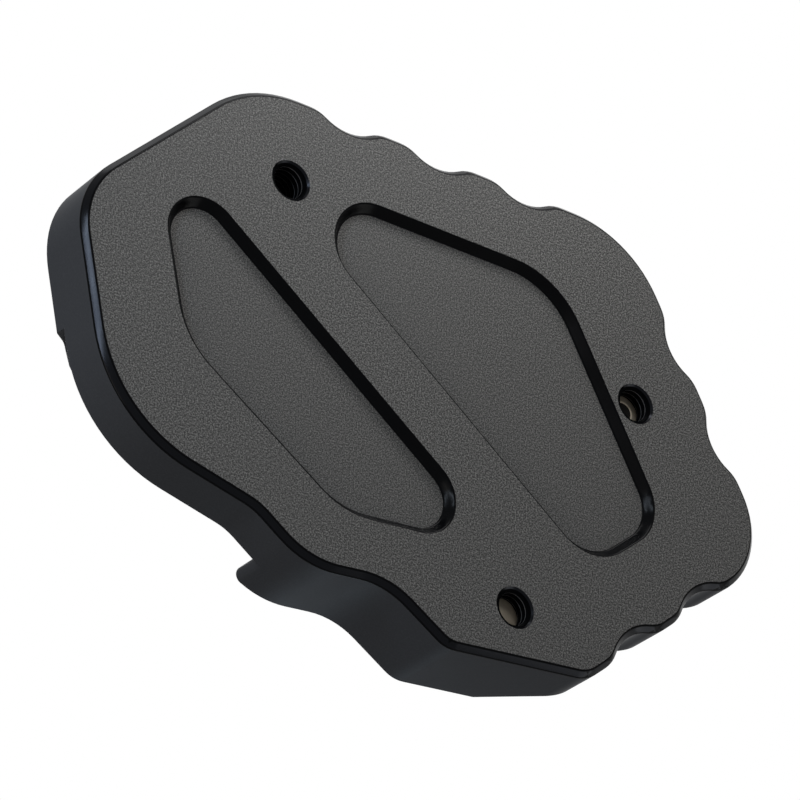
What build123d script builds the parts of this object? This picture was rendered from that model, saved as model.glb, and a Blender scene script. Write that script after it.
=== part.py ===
from build123d import *
from math import cos, hypot, radians, sin, sqrt, tan
import os

os.makedirs("parts", exist_ok=True)

# Enlarged foot for a motorbike side stand, in the position of use: the contact face lies on the
# ground at z = 0, and the stand's own foot rests in the seat on top. Millimetres.

# Outline of the base plate seen from above: each corner before rounding (x, y) and its radius
heel = (-53.8, 20.3, 22.9)
notch = (-29.7, 27.6, 9.0)
valley = (-21.1, 34.25, 14.3)
shoulder = (-7.5, 33.6, 12.5)
toe_left = (2.75, 40.85, 5.0)
toe_right = (27.7, 39.7, 5.9)
nose = (62.8, 11.2, 13.0)
far_right = (37.4, -36.95, 18.9)
far_left = (-31.6, -41.25, 19.8)
flank = (-60.45, -14.7, 13.7)
plate_corners = [
    heel, notch, valley, shoulder, toe_left, toe_right, nose, far_right, far_left, flank
]

# Scallops along three edges of the outline
scallop_depth = 1.88
scallop_radius = 7.65
scallop_pitch = 16.0
crest_rounding = 6.0
least_crest_rounding = 1.0
toe_run_start = 11.4  # from the corner that begins the edge to the first scallop
nose_run_start = 19.15
far_run_start = 19.75

# Heights above the ground
body_height = 14.35
seat_floor = 8.55
contact_chamfer = 0.9

# Flat top of the body, with bevels that fall from it to the outer edges: corners (x, y), anticlockwise,
# and their radii. The sharp first and last corners lie past the heel and the toe, which have no bevel.
top_corners = [
    (-43.3, 54.6, 0),
    (-56.2, -13.3, 12.5),
    (-32.8, -34.8, 14.0),
    (33.4, -30.7, 12.4),
    (54.6, 9.5, 6.5),
    (-11.5, 63.2, 0),
]
bevel_angle = 45  # degrees from upright

# Two shallow pockets in the contact face: corners of the rim (x, y), anticlockwise, and their radii
near_pocket = [
    (-48.5, -28.3, 6.1),
    (14.1, 23.45, 6.1),
    (-15.25, 24.55, 13.0),
    (-42.1, 4.5, 14.5),
]
far_pocket = [
    (-31.6, -28.35, 7.4),
    (23.1, -25.0, 14.0),
    (42.1, 11.2, 7.5),
    (28.5, 22.0, 8.2),
]
pocket_depth = 1.38
pocket_wall_angle = 37  # degrees from upright

# Seat for the stand's own foot: corners (x, y) and radii from the left edge round to the toe wall.
# It is open to the left for the leg, between a small horn and the end of the toe wall. The sharp first
# corner lies past the plate's edge.
seat_corners = [
    (-74.0, 6.9, 0),
    (-54.25, 3.2, 1.0),
    (-48.2, 12.9, 1.6),
    (-45.2, 11.05, 1.4),
    (-47.5, -6.0, 8.0),
    (-34.0, -15.5, 8.0),
    (2.0, -20.0, 10.0),
    (29.5, -9.0, 9.0),
    (29.5, 8.0, 9.0),
    (11.5, 24.5, 8.0),
    (-5.5, 28.0, 6.0),
]
toe_wall_end = 5.0  # thickness of the toe wall at its left end
toe_wall_lean = 52.0  # degrees between that end and the y axis
toe_wall_outer_radius = 1.4
toe_wall_inner_radius = 1.2

# Clamp plate over the edge of the stand's foot: a horseshoe, open to the left
clamp_corners = [
    (-34.5, -33.8, 7.0),
    (32.0, -30.0, 13.0),
    (53.0, 9.3, 8.0),
    (19.3, 38.0, 5.0),
    (7.0, 38.5, 5.0),
    (5.5, 21.5, 4.0),
    (24.0, 5.0, 9.0),
    (24.0, -6.0, 9.0),
    (9.0, -13.5, 10.0),
    (-34.5, -11.0, 7.0),
]
clamp_thickness = 3.0
clamp_chamfer = 0.5

# Clamp screws: button heads with a hexagon socket, in tapped through holes
short_screw_at = (-24.8, -26.4)
long_screws_at = [(37.1, -7.5), (14.4, 31.85)]
thread_diameter = 6.0
thread_clearance = 0.1
tap_mouth_allowance = 0.6  # how much wider than the thread the hole is at the contact face
tap_mouth_angle = 90
clamp_hole_clearance = 0.6
long_screw_length = 14.0
short_screw_length = 10.0
head_diameter = 10.5
head_height = 3.3
head_rim = 0.8
head_top_diameter = 5.8
head_dome_radius = 6.9
socket_across_flats = 4.0
socket_depth = 2.0
tip_chamfer = 0.2

# Levels and sizes that follow from the ones above
clamp_top = body_height + clamp_thickness
shank_radius = thread_diameter / 2 - thread_clearance
tap_mouth_radius = (thread_diameter + tap_mouth_allowance) / 2
clamp_hole_radius = (thread_diameter + clamp_hole_clearance) / 2
screw_places = [short_screw_at, *long_screws_at]
spare_share = 0.02  # least part of an edge that its two roundings leave straight
match_distance = 0.01  # a point this near a circle lies on it


def reach(corners, index):
    """Length that the rounding of one corner takes from each of its two edges."""
    before, here, after = (Vector(*corners[(index + step) % len(corners)][:2]) for step in (-1, 0, 1))
    turn = (here - before).get_angle(after - here)
    return corners[index][2] * tan(radians(turn / 2))


def fitted_radius(corners, index):
    """Radius of one corner, limited so that the roundings at both ends fit on each edge."""
    here = corners[index]
    share = 1.0
    for step in (-1, 1):
        beside = (index + step) % len(corners)
        room = (1 - spare_share) * hypot(corners[beside][0] - here[0], corners[beside][1] - here[1])
        taken = reach(corners, index) + reach(corners, beside)
        share = min(share, room / max(room, taken))
    return here[2] * share


def rounded_outline(corners):
    """Closed outline through the corners, each with its own rounding."""
    points = [corner[:2] for corner in corners]
    radii = [fitted_radius(corners, index) for index in range(len(corners))]
    with BuildSketch() as outline:
        with BuildLine():
            FilletPolyline(*points, radius=radii, close=True)
        make_face()
    return outline.sketch


def crest_reach(radius):
    """Distance along an edge from a scallop's middle to the end of a crest rounding of the given radius."""
    return sqrt(2 * scallop_depth * (scallop_radius + radius) - scallop_depth**2)


def crest_limit(room):
    """Largest crest rounding that ends within the given distance of a scallop's middle."""
    return (room**2 + scallop_depth**2) / (2 * scallop_depth) - scallop_radius


def scallop_run(start, end, first):
    """Scallop centres on an edge, as many as its straight stretch holds, and the room beside them."""
    origin = Vector(*start[:2])
    edge = Vector(*end[:2]) - origin
    along = edge.normalized()
    line = origin + Vector(-along.Y, along.X) * (scallop_radius - scallop_depth)
    stretch = edge.length - reach(plate_corners, plate_corners.index(end))
    count = int((stretch - crest_reach(least_crest_rounding) - first) // scallop_pitch) + 1
    places = [first + scallop_pitch * number for number in range(count)]
    rooms = [first - reach(plate_corners, plate_corners.index(start)), stretch - places[-1]]
    return [line + along * place for place in places], rooms


scallops = []
crest_rooms = [scallop_pitch / 2]
for run in [
    (toe_right, nose, toe_run_start),
    (nose, far_right, nose_run_start),
    (far_right, far_left, far_run_start),
]:
    centres, rooms = scallop_run(*run)
    scallops += centres
    crest_rooms += rooms
crest_radius = min(crest_rounding, (1 - spare_share) * crest_limit(min(crest_rooms)))

# The toe wall's left end starts just inside the curve of the valley and leans into the plate
valley_edge = (Vector(*valley[:2]) - Vector(*notch[:2])).normalized()
valley_reach = reach(plate_corners, plate_corners.index(valley))
wall_start = Vector(*valley[:2]) - valley_edge * (1 - spare_share) * valley_reach
wall_end = Vector(sin(radians(toe_wall_lean)), -cos(radians(toe_wall_lean)))
wall_inside = wall_start + wall_end * toe_wall_end
wall_outside = wall_start - wall_end * heel[2]
seat_mouth = [
    (wall_inside.X, wall_inside.Y, toe_wall_inner_radius),
    (wall_outside.X, wall_outside.Y, 0),
    (seat_corners[0][0], wall_outside.Y, 0),
]

plate_outline = rounded_outline(plate_corners)
seat_outline = rounded_outline(seat_corners + seat_mouth)
top_outline = rounded_outline(top_corners)
clamp_outline = rounded_outline(clamp_corners)
pocket_rims = [rounded_outline(near_pocket), rounded_outline(far_pocket)]

# Plate outline with its scallops and rounded crests
with BuildSketch() as scalloped_outline:
    add(plate_outline)
    with Locations(*scallops):
        Circle(scallop_radius, mode=Mode.SUBTRACT)
    crests = [
        vertex
        for vertex in scalloped_outline.vertices()
        if min(abs((Vector(vertex) - at).length - scallop_radius) for at in scallops) < match_distance
    ]
    fillet(crests, radius=crest_radius)

# Plan of the body above the seat's floor
with BuildSketch() as upper_plan:
    add(scalloped_outline.sketch)
    add(seat_outline, mode=Mode.SUBTRACT)
    fillet(upper_plan.vertices().sort_by_distance(wall_start)[0], radius=toe_wall_outer_radius)

# Base plate
with BuildPart() as base_plate:
    with BuildSketch():
        add(scalloped_outline.sketch)
    extrude(amount=seat_floor)
    chamfer(base_plate.faces().sort_by(Axis.Z)[0].edges(), length=contact_chamfer)
    with BuildSketch(Plane.XY.offset(seat_floor)):
        add(upper_plan.sketch)
    extrude(amount=body_height - seat_floor)
    # Bevels from the flat top down to the outer edges
    with BuildSketch(Plane.XY.offset(body_height)):
        add(top_outline)
    extrude(amount=-body_height, taper=-bevel_angle, mode=Mode.INTERSECT)
    # Pockets with sloped walls in the contact face
    with BuildSketch():
        add(pocket_rims)
    extrude(amount=pocket_depth, taper=pocket_wall_angle, mode=Mode.SUBTRACT)
    # Tapped holes, opened at the contact face
    with Locations(*[Location((x, y, 0), (180, 0, 0)) for x, y in screw_places]):
        CounterSinkHole(
            radius=thread_diameter / 2,
            counter_sink_radius=tap_mouth_radius,
            counter_sink_angle=tap_mouth_angle,
        )
base_plate.part.label = "base_plate"
export_step(base_plate.part, "parts/base_plate.step")

# Clamp plate
with BuildPart() as clamp_plate:
    with BuildSketch(Plane.XY.offset(body_height)):
        add(clamp_outline)
    extrude(amount=clamp_thickness)
    chamfer(clamp_plate.faces().sort_by(Axis.Z)[-1].edges(), length=clamp_chamfer)
    with Locations(*[(x, y, clamp_top) for x, y in screw_places]):
        Hole(radius=clamp_hole_radius)
clamp_plate.part.label = "clamp_plate"
export_step(clamp_plate.part, "parts/clamp_plate.step")


def button_screw(length):
    """Button-head screw with the underside of its head at the origin, pointing down."""
    with BuildPart() as screw:
        with BuildSketch(Plane.XZ):
            with BuildLine():
                Polyline(
                    (0, head_height),
                    (0, -length),
                    (shank_radius - tip_chamfer, -length),
                    (shank_radius, tip_chamfer - length),
                    (shank_radius, 0),
                    (head_diameter / 2, 0),
                    (head_diameter / 2, head_rim),
                )
                RadiusArc(
                    (head_diameter / 2, head_rim),
                    (head_top_diameter / 2, head_height),
                    -head_dome_radius,
                )
                Line((head_top_diameter / 2, head_height), (0, head_height))
            make_face()
        revolve(axis=Axis.Z)
        with BuildSketch(Plane.XY.offset(head_height)):
            RegularPolygon(radius=socket_across_flats / 2, side_count=6, major_radius=False)
        extrude(amount=-socket_depth, mode=Mode.SUBTRACT)
    return screw.part


long_screw = button_screw(long_screw_length)
short_screw = button_screw(short_screw_length)

# The two long screws
with BuildPart() as clamp_screws:
    with Locations(*[(x, y, clamp_top) for x, y in long_screws_at]):
        add(long_screw)
clamp_screws.part.label = "clamp_screws"
export_step(clamp_screws.part, "parts/clamp_screws.step")

# The short screw
with BuildPart() as short_clamp_screw:
    with Locations((*short_screw_at, clamp_top)):
        add(short_screw)
short_clamp_screw.part.label = "short_clamp_screw"
export_step(short_clamp_screw.part, "parts/short_clamp_screw.step")
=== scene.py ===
from itertools import combinations
from math import cos, floor, radians, sin, tau

import bmesh
import bpy
from mathutils import Matrix, Vector


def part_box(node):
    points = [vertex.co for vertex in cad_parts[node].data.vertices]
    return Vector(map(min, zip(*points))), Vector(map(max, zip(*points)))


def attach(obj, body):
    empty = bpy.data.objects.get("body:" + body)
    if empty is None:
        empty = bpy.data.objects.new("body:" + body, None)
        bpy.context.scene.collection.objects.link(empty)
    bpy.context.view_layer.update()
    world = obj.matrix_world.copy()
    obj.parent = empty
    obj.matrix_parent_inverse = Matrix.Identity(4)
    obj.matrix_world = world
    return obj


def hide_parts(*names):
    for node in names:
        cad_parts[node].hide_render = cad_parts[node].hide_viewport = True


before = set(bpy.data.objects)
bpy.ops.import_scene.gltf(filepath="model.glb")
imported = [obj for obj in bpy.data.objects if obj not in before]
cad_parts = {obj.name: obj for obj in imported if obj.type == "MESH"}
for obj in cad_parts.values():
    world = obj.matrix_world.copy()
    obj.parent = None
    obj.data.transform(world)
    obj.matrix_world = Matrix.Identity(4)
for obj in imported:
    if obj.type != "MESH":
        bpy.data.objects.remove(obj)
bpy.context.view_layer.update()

# Enlarged foot of a motorbike side stand, seen from below: the large face towards the camera is the one
# that stands on the ground. The CAD nodes give every shape and place. This script adds the finish, the
# broken edges, the threads and the drives of the screws. Sizes are in millimetres, except those of the
# stage and the lamps, which are in metres.
MM = 0.001

# Heights
contact_z = 0.0
pocket_z = 1.38
clamp_under_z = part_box("clamp_plate")[0].z / MM
clamp_top_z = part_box("clamp_plate")[1].z / MM

# Tapped holes
hole_places = {"heel": (-24.8, -26.4), "nose": (37.1, -7.5), "toe": (14.4, 31.85)}
hole_reach = 3.35
tapped_major_radius = 2.995
tapped_minor_radius = 2.5
tapped_shell_radius = 3.03
tapped_mouth_radius = 3.3
tapped_mouth_slope = 1.6
tapped_mouth_gap = 0.32
tapped_top_gap = 0.05
crest_reach = 0.03

# Threads
thread_pitch = 1.0
thread_flat_share = 0.14
thread_steps = 72
thread_rows = 12
lead_in_turns = 1
spare_turns = 3

# Screws
thread_major_radius = 2.9
thread_minor_radius = 2.42
thread_start = 1.2
head_height = 3.3
head_rim = 0.8
head_radius = 5.25
head_top_radius = 2.9
head_dome_radius = 6.9
head_edge_break = 0.15
head_fillet = 0.25
dome_steps = 10
socket_apothem = 2.0
socket_depth = 2.0
socket_mouth_radius = 2.42
socket_mouth_depth = 0.12
drill_cone_depth = 0.5
tip_chamfer = 0.2
dimple_rim = 0.3
dimple_floor_share = 0.6
dimple_wall_share = 0.8
height_slack = 0.01
rim_slack = 0.02

# Edges that are broken so that they catch the light. Where two of them close up to a knife edge, they stay
# sharp over a short stretch.
low_edge_break = 0.18
high_edge_break = 0.08
low_edge_height = 2.0
sharp_angle = radians(24)
knife_angle = radians(30)
knife_stretch = 1.3
flat_angle = radians(0.3)
smooth_angle = radians(40)
weld_distance = 0.0005

# Slopes of the base plate's faces: the height of a face's normal
flat_down_slope = -0.995
chamfer_slopes = (-0.72, -0.69)
cut_slope = -0.15
top_slope = 0.1


def link(piece):
    bpy.context.scene.collection.objects.link(piece)
    return piece


def piece_from(name, vertices, faces):
    """New mesh piece in metres from points in millimetres, riding on the part."""
    mesh = bpy.data.meshes.new(name)
    mesh.from_pydata([Vector(point) * MM for point in vertices], [], faces)
    mesh.validate()
    piece = link(bpy.data.objects.new(name, mesh))
    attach(piece, "root")
    return piece


def off_axis(point, place):
    """Distance of a point of the model from the axis of a hole."""
    return (Vector(point.xy) / MM - Vector(place)).length


# Materials

white = (1.0, 1.0, 1.0)
# Range in which nearly all of a noise lies, and the part of it from the darkest to the lightest grain
noise_range = (0.3, 0.7)
grain_range = (0.44, 0.66)


def new_material(name):
    """Empty node material with a Principled shader, and the means to add nodes to it."""
    material = bpy.data.materials.new(name)
    material.use_nodes = True
    tree = material.node_tree
    shader = tree.nodes["Principled BSDF"]

    def add(kind, **values):
        node = tree.nodes.new(kind)
        for key, value in values.items():
            if key in node.inputs:
                node.inputs[key].default_value = value
            else:
                setattr(node, key, value)
        return node

    return material, tree, shader, add


def noise(tree, add, size, detail=2.0, rough=0.5):
    """Noise of a given size in the part's own coordinates."""
    coordinates = add("ShaderNodeTexCoord")
    texture = add("ShaderNodeTexNoise", Scale=1 / (size * MM), Detail=detail, Roughness=rough)
    tree.links.new(coordinates.outputs["Object"], texture.inputs["Vector"])
    return texture.outputs["Fac"]


def ramp(tree, add, factor, span, dark, light):
    """Colour from dark to light over a span of the factor."""
    node = add("ShaderNodeValToRGB")
    for element, position, colour in zip(node.color_ramp.elements, span, (dark, light)):
        element.position = position
        element.color = (*colour, 1.0)
    tree.links.new(factor, node.inputs["Fac"])
    return node.outputs["Color"]


def value_range(tree, add, factor, low, high):
    """Maps a noise onto a range of values."""
    node = add("ShaderNodeMapRange", clamp=True)
    node.inputs["From Min"].default_value, node.inputs["From Max"].default_value = noise_range
    node.inputs["To Min"].default_value = low
    node.inputs["To Max"].default_value = high
    tree.links.new(factor, node.inputs["Value"])
    return node.outputs["Result"]


def bump(tree, add, shader, height, strength, distance):
    node = add("ShaderNodeBump", Strength=strength, Distance=distance * MM)
    tree.links.new(height, node.inputs["Height"])
    tree.links.new(node.outputs["Normal"], shader.inputs["Normal"])


def anodised(name, dark, light, roughness, specular, grain, grain_strength, tint=white):
    """Black anodised aluminium with a blasted grain of the given size."""
    material, tree, shader, add = new_material(name)
    speckle = noise(tree, add, size=grain, detail=3.0, rough=0.7)
    colour = ramp(tree, add, speckle, grain_range, dark, light)
    tree.links.new(colour, shader.inputs["Base Color"])
    cloud = noise(tree, add, size=9.0, detail=3.0)
    tree.links.new(value_range(tree, add, cloud, *roughness), shader.inputs["Roughness"])
    bump(tree, add, shader, speckle, strength=grain_strength, distance=0.02)
    shader.inputs["Specular IOR Level"].default_value = specular
    shader.inputs["Specular Tint"].default_value = (*tint, 1.0)
    return material


def coated_steel(name, dark, light, roughness, specular):
    """Satin black coating with a faint orange peel."""
    material, tree, shader, add = new_material(name)
    peel = noise(tree, add, size=0.6)
    cloud = noise(tree, add, size=7.0, detail=3.0)
    colour = ramp(tree, add, cloud, noise_range, dark, light)
    tree.links.new(colour, shader.inputs["Base Color"])
    tree.links.new(value_range(tree, add, cloud, *roughness), shader.inputs["Roughness"])
    bump(tree, add, shader, peel, strength=0.25, distance=0.02)
    shader.inputs["Specular IOR Level"].default_value = specular
    return material


def steel(name, dark, light, roughness, metallic, specular=0.5):
    """Turned steel, a little warm, with a fine grain."""
    material, tree, shader, add = new_material(name)
    fine = noise(tree, add, size=0.12)
    cloud = noise(tree, add, size=2.5, detail=3.0)
    colour = ramp(tree, add, cloud, noise_range, dark, light)
    tree.links.new(colour, shader.inputs["Base Color"])
    tree.links.new(value_range(tree, add, fine, *roughness), shader.inputs["Roughness"])
    bump(tree, add, shader, fine, strength=0.2, distance=0.01)
    shader.inputs["Metallic"].default_value = metallic
    shader.inputs["Specular IOR Level"].default_value = specular
    return material


contact_finish = anodised(
    "blasted_contact_face", dark=(0.0220, 0.0216, 0.0208), light=(0.1760, 0.1718, 0.1642),
    roughness=(0.52, 0.57), specular=0.12, grain=0.25, grain_strength=0.2,
)
pocket_finish = anodised(
    "blasted_pocket_floor", dark=(0.0235, 0.0231, 0.0223), light=(0.1620, 0.1581, 0.1512),
    roughness=(0.52, 0.57), specular=0.12, grain=0.23, grain_strength=0.2,
)
wall_finish = anodised(
    "satin_wall", dark=(0.0316, 0.0330, 0.0364), light=(0.0360, 0.0376, 0.0414),
    roughness=(0.34, 0.42), specular=0.008, grain=0.3, grain_strength=0.1,
)
# Pocket walls, hole mouths and other down-facing slopes are painted near black as shade
cut_shade_finish = anodised(
    "cut_wall_painted_shade", dark=(0.0009, 0.0010, 0.0013), light=(0.0014, 0.0016, 0.0020),
    roughness=(0.16, 0.26), specular=0.026, grain=0.25, grain_strength=0.05,
)
# Chamfers round the ground face: near-black colour as painted shade, with a bluish tint painted into their
# reflections
shaded_chamfer_finish = anodised(
    "cut_chamfer_painted_shade_and_tint", dark=(0.0009, 0.0010, 0.0013), light=(0.0014, 0.0016, 0.0020),
    roughness=(0.13, 0.21), specular=0.072, grain=0.14, grain_strength=0.16, tint=(0.82, 0.87, 1.0),
)
# Tapped thread: the roots are painted near black as shade, the crests lighter as a highlight
root_shade_finish = anodised(
    "thread_root_painted_shade", dark=(0.0009, 0.0010, 0.0012), light=(0.0014, 0.0015, 0.0018),
    roughness=(0.30, 0.40), specular=0.004, grain=0.25, grain_strength=0.05,
)
crest_highlight_finish = anodised(
    "thread_crest_painted_highlight", dark=(0.044, 0.044, 0.045), light=(0.066, 0.066, 0.068),
    roughness=(0.25, 0.35), specular=0.1, grain=0.25, grain_strength=0.05,
)
top_finish = anodised(
    "blasted_top", dark=(0.018, 0.018, 0.018), light=(0.046, 0.046, 0.046),
    roughness=(0.52, 0.57), specular=0.12, grain=0.26, grain_strength=0.45,
)
coat = coated_steel(
    "satin_black_coat", dark=(0.016, 0.016, 0.017), light=(0.024, 0.024, 0.026),
    roughness=(0.37, 0.41), specular=0.4,
)
head_steel = steel(
    "stainless_steel", dark=(0.50, 0.47, 0.43), light=(0.62, 0.59, 0.55),
    roughness=(0.26, 0.42), metallic=1.0,
)
shank_steel = steel(
    "waxed_steel", dark=(0.35, 0.305, 0.235), light=(0.48, 0.418, 0.325),
    roughness=(0.45, 0.60), metallic=0.2,
)
# Lighter steel on the rim round the tip's dimple: painted highlight
rim_highlight_steel = steel(
    "painted_rim_highlight", dark=(0.62, 0.54, 0.42), light=(0.76, 0.66, 0.52),
    roughness=(0.40, 0.55), metallic=0.2,
)
# Near-black steel with little sheen for the inside of the tip's dimple: painted shade
recess_shade_steel = steel(
    "painted_recess_shade", dark=(0.010, 0.009, 0.008), light=(0.020, 0.018, 0.016),
    roughness=(0.45, 0.60), metallic=0.0, specular=0.05,
)


def dress(piece, finishes, finish_of):
    """Gives each face its finish, and smooth shading that keeps flat faces flat."""
    for finish in finishes:
        piece.data.materials.append(finish)
    for face in piece.data.polygons:
        face.material_index = finishes.index(finish_of(face))
        face.use_smooth = True
    piece.data.set_sharp_from_angle(angle=smooth_angle)
    normals = piece.modifiers.new("flat_faces", "WEIGHTED_NORMAL")
    normals.mode = "FACE_AREA"
    normals.weight = 100
    normals.keep_sharp = True


# Base plate and clamp plate: copies of the nodes with broken edges


def near_hole(point):
    """Whether a point of the model lies within the mouth of a tapped hole."""
    return any(off_axis(point, place) < hole_reach for place in hole_places.values())


def knife_corners(edges):
    """Corners where two sharp edges close up to a narrow angle."""
    leaving = {}
    for edge in edges:
        for end in edge.verts:
            leaving.setdefault(end, []).append(edge.other_vert(end).co - end.co)
    return [
        end for end, ways in leaving.items()
        if any(a.angle(b) < knife_angle for a, b in combinations(ways, 2))
    ]


def settle_order(elements, place_of):
    """Puts elements of a mesh in the order of their places, which is the same in every run."""
    for index, element in enumerate(sorted(elements, key=place_of)):
        element.index = index
    elements.sort()


def broken_edge_copy(node_name, piece_name):
    """Copy of a node's mesh in place of the node, with its sharp edges broken by a narrow bevel.

    The mouths of the tapped holes stay sharp.
    """
    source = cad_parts[node_name].data
    vertices = [vertex.co / MM for vertex in source.vertices]
    faces = [list(face.vertices) for face in source.polygons]
    piece = piece_from(piece_name, vertices, faces)
    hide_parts(node_name)
    shape = bmesh.new()
    shape.from_mesh(piece.data)
    bmesh.ops.remove_doubles(shape, verts=shape.verts, dist=weld_distance * MM)
    bmesh.ops.dissolve_limit(shape, angle_limit=flat_angle, verts=shape.verts, edges=shape.edges)
    sharp = [edge for edge in shape.edges if edge.is_manifold and edge.calc_face_angle() > sharp_angle]
    knives = [corner.co for corner in knife_corners(sharp)]
    sharp = [
        edge for edge in sharp
        if not near_hole(edge.verts[0].co)
        and all((end.co - knife).length > knife_stretch * MM for end in edge.verts for knife in knives)
    ]
    low = [edge for edge in sharp if max(end.co.z for end in edge.verts) < low_edge_height * MM]
    high = [edge for edge in sharp if edge not in low]
    for edges, width in ((low, low_edge_break), (high, high_edge_break)):
        bmesh.ops.bevel(
            shape, geom=edges, offset=width * MM, segments=2, profile=0.5, affect="EDGES",
            clamp_overlap=False,
        )
    settle_order(shape.verts, lambda vertex: vertex.co[:])
    settle_order(shape.faces, lambda face: face.calc_center_median()[:])
    shape.to_mesh(piece.data)
    shape.free()
    return piece


def base_finish(face):
    """Finish of a face of the base plate, from where it is and which way it looks."""
    slope = face.normal.z
    if slope < flat_down_slope:
        return contact_finish if face.center.z / MM < (contact_z + pocket_z) / 2 else pocket_finish
    # The chamfers get the painted shade with the painted bluish reflection tint
    if chamfer_slopes[0] < slope < chamfer_slopes[1]:
        return shaded_chamfer_finish
    # Down-facing slopes and the mouths of the holes get the painted shade
    if slope < cut_slope or near_hole(face.center):
        return cut_shade_finish
    return wall_finish if slope < top_slope else top_finish


base = broken_edge_copy("base_plate", "base_body")
base_finishes = [contact_finish, pocket_finish, cut_shade_finish, wall_finish, top_finish, shaded_chamfer_finish]
dress(base, base_finishes, base_finish)

clamp = broken_edge_copy("clamp_plate", "clamp_horseshoe")
dress(clamp, [coat], lambda face: coat)


# Threads


def ridge(position):
    """Height of a thread, from 0 at the root to 1 at the crest, along one pitch."""
    from_crest = abs(position - floor(position) - 0.5)
    flank_start = 0.5 - thread_flat_share / 2
    crest_end = thread_flat_share / 2
    return min(max((flank_start - from_crest) / (flank_start - crest_end), 0.0), 1.0)


def helix_rows(bottom, top):
    """Rows of points that follow the thread, each as (turn share, height), cut flat at both ends."""
    first = floor(bottom / thread_pitch) - lead_in_turns
    count = int((top - bottom) / thread_pitch + spare_turns) * thread_rows
    rows = []
    for row in range(count + 1):
        start = (first + row / thread_rows) * thread_pitch
        rows.append([
            (step / thread_steps, min(max(start + thread_pitch * step / thread_steps, bottom), top))
            for step in range(thread_steps + 1)
        ])
    return rows


def grid_faces(rows, columns):
    """Quads between rows of points."""
    return [
        [r * columns + c, r * columns + c + 1, (r + 1) * columns + c + 1, (r + 1) * columns + c]
        for r in range(rows - 1) for c in range(columns - 1)
    ]


def weld(piece):
    """Joins doubled points and points the faces outwards."""
    shape = bmesh.new()
    shape.from_mesh(piece.data)
    bmesh.ops.remove_doubles(shape, verts=shape.verts, dist=weld_distance * MM)
    bmesh.ops.dissolve_degenerate(shape, edges=shape.edges, dist=weld_distance * MM)
    bmesh.ops.recalc_face_normals(shape, faces=shape.faces)
    shape.to_mesh(piece.data)
    shape.free()


def tapped_thread(name, place, bottom, top):
    """Closed sleeve with the internal thread of one hole, set in the wall of the bore."""
    depth = tapped_major_radius - tapped_minor_radius
    points = []
    rows = helix_rows(bottom, top)
    for row in rows:
        for turn, height in row:
            # Half a pitch on from the screw's thread, so that the two mesh
            inward = ridge(height / thread_pitch - turn + 0.5) * depth
            mouth = tapped_mouth_radius - (height - contact_z) * tapped_mouth_slope
            radius = max(tapped_major_radius - inward, min(mouth, tapped_major_radius))
            angle = turn * tau
            points.append((place[0] + radius * cos(angle), place[1] + radius * sin(angle), height))
    columns = thread_steps + 1
    faces = grid_faces(len(rows), columns)
    # Outer shell of the sleeve
    for height in (top, bottom):
        for step in range(columns):
            angle = step / thread_steps * tau
            points.append((
                place[0] + tapped_shell_radius * cos(angle),
                place[1] + tapped_shell_radius * sin(angle), height,
            ))
    last = (len(rows) - 1) * columns
    shell_top, shell_bottom = len(rows) * columns, (len(rows) + 1) * columns
    for c in range(thread_steps):
        faces.append([last + c, last + c + 1, shell_top + c + 1, shell_top + c])
        faces.append([shell_top + c, shell_top + c + 1, shell_bottom + c + 1, shell_bottom + c])
        faces.append([shell_bottom + c, shell_bottom + c + 1, c + 1, c])
    piece = piece_from(name, points, faces)
    weld(piece)

    def thread_finish(face):
        # The crests get the painted highlight, the rest of the thread the painted shade
        is_crest = off_axis(face.center, place) < tapped_minor_radius + crest_reach
        return crest_highlight_finish if is_crest else root_shade_finish

    dress(piece, [root_shade_finish, crest_highlight_finish], thread_finish)


for hole, place in hole_places.items():
    tapped_thread(
        f"tapped_thread_{hole}", place, contact_z + tapped_mouth_gap, clamp_under_z - tapped_top_gap
    )


# Screws


def ring(radius, height):
    """Round row of points, each as (angle, radius, height)."""
    return [(step / thread_steps * tau, radius, height) for step in range(thread_steps + 1)]


def hexagon(apothem, height):
    """Row of points round the hexagon socket."""
    sixth = tau / 6
    return [
        (angle, apothem / cos(angle % sixth - sixth / 2), level) for angle, _, level in ring(0, height)
    ]


def head_rows(top):
    """Rows of a button head, from the bottom of its socket to the start of the thread."""
    rows = [
        ring(0, top - socket_depth - drill_cone_depth),
        hexagon(socket_apothem, top - socket_depth),
        hexagon(socket_apothem, top - socket_mouth_depth),
        ring(socket_mouth_radius, top),
    ]
    # The dome is an arc from the flat top to the rim
    start, end = Vector((head_top_radius, top)), Vector((head_radius, top - head_height + head_rim))
    chord = end - start
    rise = (head_dome_radius**2 - chord.length_squared / 4) ** 0.5
    centre = (start + end) / 2 - Vector((-chord.y, chord.x)).normalized() * rise
    for step in range(dome_steps + 1):
        spoke = start.lerp(end, step / dome_steps) - centre
        point = centre + spoke.normalized() * head_dome_radius
        rows.append(ring(point.x, point.y))
    under = top - head_height
    rows += [
        ring(head_radius, under + head_edge_break),
        ring(head_radius - head_edge_break, under),
        ring(thread_major_radius + head_fillet, under),
        ring(thread_major_radius, under - head_fillet),
        ring(thread_major_radius, under - thread_start),
    ]
    return rows


def shank_rows(tip, top):
    """Rows of the threaded shank, from the top down to the chamfered tip."""
    depth = thread_major_radius - thread_minor_radius
    rows = []
    for row in reversed(helix_rows(tip, top)):
        points = []
        for turn, height in row:
            radius = thread_minor_radius + ridge(height / thread_pitch - turn) * depth
            chamfer = thread_major_radius - tip_chamfer + (height - tip)
            near_head = thread_major_radius - (top - height)
            points.append((turn * tau, max(min(radius, chamfer), near_head), height))
        rows.append(points)
    return rows


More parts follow.
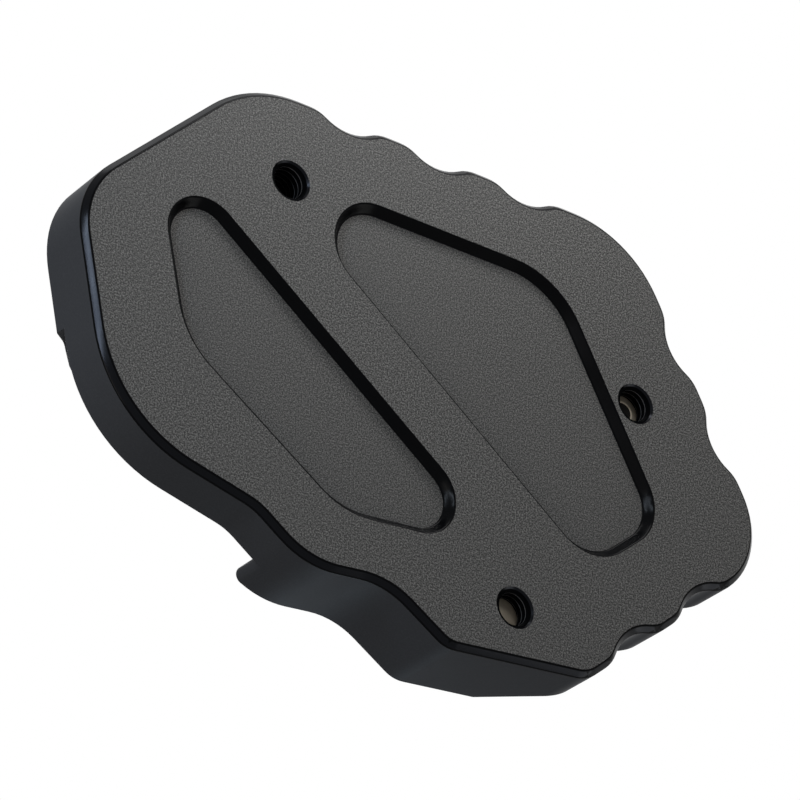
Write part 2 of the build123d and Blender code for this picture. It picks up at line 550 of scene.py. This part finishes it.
def button_screw(name, node, place, length, dimple_radius=1.0, dimple_depth=0.0):
    """Button-head screw with a hexagon socket and a real thread, in place of its node's solid.

    Its tip is flat, or has a dimple whose inside is painted near black as shade and whose rim is painted
    lighter as a highlight.
    """
    tip = clamp_top_z - length
    rows = head_rows(clamp_top_z + head_height)
    rows += shank_rows(tip, clamp_top_z - thread_start)
    rows += [
        ring(dimple_radius + dimple_rim, tip),
        ring(dimple_radius, tip),
        ring(dimple_radius * dimple_floor_share, tip + dimple_depth * dimple_wall_share),
        ring(0, tip + dimple_depth),
    ]
    points = [
        (place[0] + radius * cos(angle), place[1] + radius * sin(angle), height)
        for row in rows for angle, radius, height in row
    ]
    piece = piece_from(name, points, grid_faces(len(rows), thread_steps + 1))
    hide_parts(node)
    weld(piece)

    def screw_finish(face):
        height, reach = face.center.z / MM, off_axis(face.center, place)
        if height > clamp_top_z - height_slack:
            return head_steel
        # Inside of the dimple: painted shade
        if reach < dimple_radius and tip + height_slack < height < tip + dimple_depth:
            return recess_shade_steel
        # Rim round the dimple: painted highlight
        if dimple_depth and dimple_radius - rim_slack < reach < dimple_radius + dimple_rim:
            return rim_highlight_steel
        return shank_steel

    dress(piece, [head_steel, shank_steel, recess_shade_steel, rim_highlight_steel], screw_finish)


button_screw(
    "nose_screw", "clamp_screws", hole_places["nose"], length=14.0, dimple_radius=1.55, dimple_depth=0.6
)
button_screw("toe_screw", "clamp_screws", hole_places["toe"], length=14.0)
button_screw("heel_screw", "short_clamp_screw", hole_places["heel"], length=10.0)


# Stage: a pale floor that only a camera above it sees, so that the view from below has a plain ground, and
# white surroundings that the camera and reflections see at full strength

floor_half = 2.0
floor_level = -0.05 * MM
floor_grey = (0.86, 0.86, 0.86)
backdrop_strength = 1.0
ambient_strength = 0.12


def combine(tree, operation, first, second):
    """Math node on two outputs, kept between 0 and 1."""
    node = tree.nodes.new("ShaderNodeMath")
    node.operation = operation
    node.use_clamp = True
    tree.links.new(first, node.inputs[0])
    tree.links.new(second, node.inputs[1])
    return node.outputs["Value"]


def mix_surface(tree, factor, first, second, output):
    """Mixes two shaders into the surface of an output node."""
    mix = tree.nodes.new("ShaderNodeMixShader")
    tree.links.new(factor, mix.inputs["Fac"])
    tree.links.new(first, mix.inputs[1])
    tree.links.new(second, mix.inputs[2])
    tree.links.new(mix.outputs["Shader"], tree.nodes[output].inputs["Surface"])


def floor_material():
    material, tree, shader, add = new_material("pale_floor")
    shader.inputs["Base Color"].default_value = (*floor_grey, 1.0)
    shader.inputs["Roughness"].default_value = 0.9
    shader.inputs["Specular IOR Level"].default_value = 0.1
    rays, side = add("ShaderNodeLightPath"), add("ShaderNodeNewGeometry")
    seen_from_above = combine(
        tree, "SUBTRACT", rays.outputs["Is Camera Ray"], side.outputs["Backfacing"]
    )
    clear = add("ShaderNodeBsdfTransparent")
    mix_surface(tree, seen_from_above, clear.outputs["BSDF"], shader.outputs["BSDF"], "Material Output")
    return material


floor_mesh = bpy.data.meshes.new("floor")
floor_corners = [
    (x * floor_half, y * floor_half, floor_level) for x, y in ((-1, -1), (1, -1), (1, 1), (-1, 1))
]
floor_mesh.from_pydata(floor_corners, [], [(0, 1, 2, 3)])
floor_plane = link(bpy.data.objects.new("floor", floor_mesh))
floor_mesh.materials.append(floor_material())

world = bpy.data.worlds.new("studio")
world.use_nodes = True
bpy.context.scene.world = world
world_tree = world.node_tree
backdrop = world_tree.nodes["Background"]
ambient = world_tree.nodes.new("ShaderNodeBackground")
for light, strength in ((backdrop, backdrop_strength), (ambient, ambient_strength)):
    light.inputs["Color"].default_value = (*white, 1.0)
    light.inputs["Strength"].default_value = strength
world_rays = world_tree.nodes.new("ShaderNodeLightPath").outputs
seen = combine(world_tree, "MAXIMUM", world_rays["Is Camera Ray"], world_rays["Is Glossy Ray"])
seen = combine(world_tree, "MAXIMUM", seen, world_rays["Is Transmission Ray"])
mix_surface(
    world_tree, seen, ambient.outputs["Background"], backdrop.outputs["Background"], "World Output"
)


# Lamps and camera


def area_lamp(name, place, target, size, power, colour=white):
    """Soft rectangular light at a place in metres, turned towards a target."""
    data = bpy.data.lights.new(name, "AREA")
    data.shape = "RECTANGLE"
    data.size, data.size_y = size
    data.energy = power
    data.color = colour
    lamp = link(bpy.data.objects.new(name, data))
    lamp.location = place
    lamp.rotation_mode = "QUATERNION"
    lamp.rotation_quaternion = (Vector(place) - Vector(target)).to_track_quat("Z", "Y")
    lamp.visible_camera = False


area_lamp(
    "low_key", place=(-0.385, -0.090, -0.207), target=(-0.057, 0.003, 0.0), size=(0.28, 0.036),
    power=1.15, colour=(0.76, 0.87, 1.0),
)
area_lamp(
    "low_soft", place=(0.03, -0.22, -0.45), target=(0.0, 0.0, 0.0), size=(0.10, 0.10), power=0.20
)
area_lamp(
    "low_strip", place=(0.020, -0.130, -0.060), target=(0.0, -0.030, 0.0), size=(0.12, 0.04), power=0.185
)
area_lamp(
    "side_fill", place=(-0.70, 0.25, -0.20), target=(0.0, 0.0, 0.0), size=(0.40, 0.30),
    power=2.6, colour=(1.0, 0.95, 0.90),
)
area_lamp(
    "high_soft", place=(0.20, -0.20, 0.86), target=(0.0, 0.0, 0.0), size=(0.50, 0.50), power=8.0
)
area_lamp(
    "right_soft", place=(0.42, 0.30, -0.15), target=(0.03, 0.02, 0.0), size=(0.30, 0.20), power=0.5
)
area_lamp(
    "rim_soft", place=(0.0, -0.52, 0.03), target=(-0.045, -0.02, 0.0), size=(0.30, 0.10), power=0.16
)
area_lamp(
    "toe_soft", place=(0.031, 0.087, 0.095), target=(-0.015, 0.034, 0.010), size=(0.05, 0.05),
    power=0.03, colour=(0.70, 0.85, 1.0),
)

# Camera at the photograph's viewing angle
aim = Vector((-5.67, 4.0, 0.0)) * MM
camera_distance = 673.95 * MM
forward = Vector((0.4992, -0.4531, 0.7386)).normalized()
right = Vector((0.8285, 0.0, -0.5600)).normalized()
up = right.cross(forward)
camera_data = bpy.data.cameras.new("camera")
camera_data.sensor_width = 36.0
camera_data.lens = 209.6
camera = link(bpy.data.objects.new("camera", camera_data))
camera_place = aim - forward * camera_distance
camera_turn = Matrix((right, up, -forward)).transposed().to_4x4()
camera.matrix_world = Matrix.Translation(camera_place) @ camera_turn
bpy.context.scene.camera = camera

bpy.context.scene.view_settings.view_transform = "Standard"
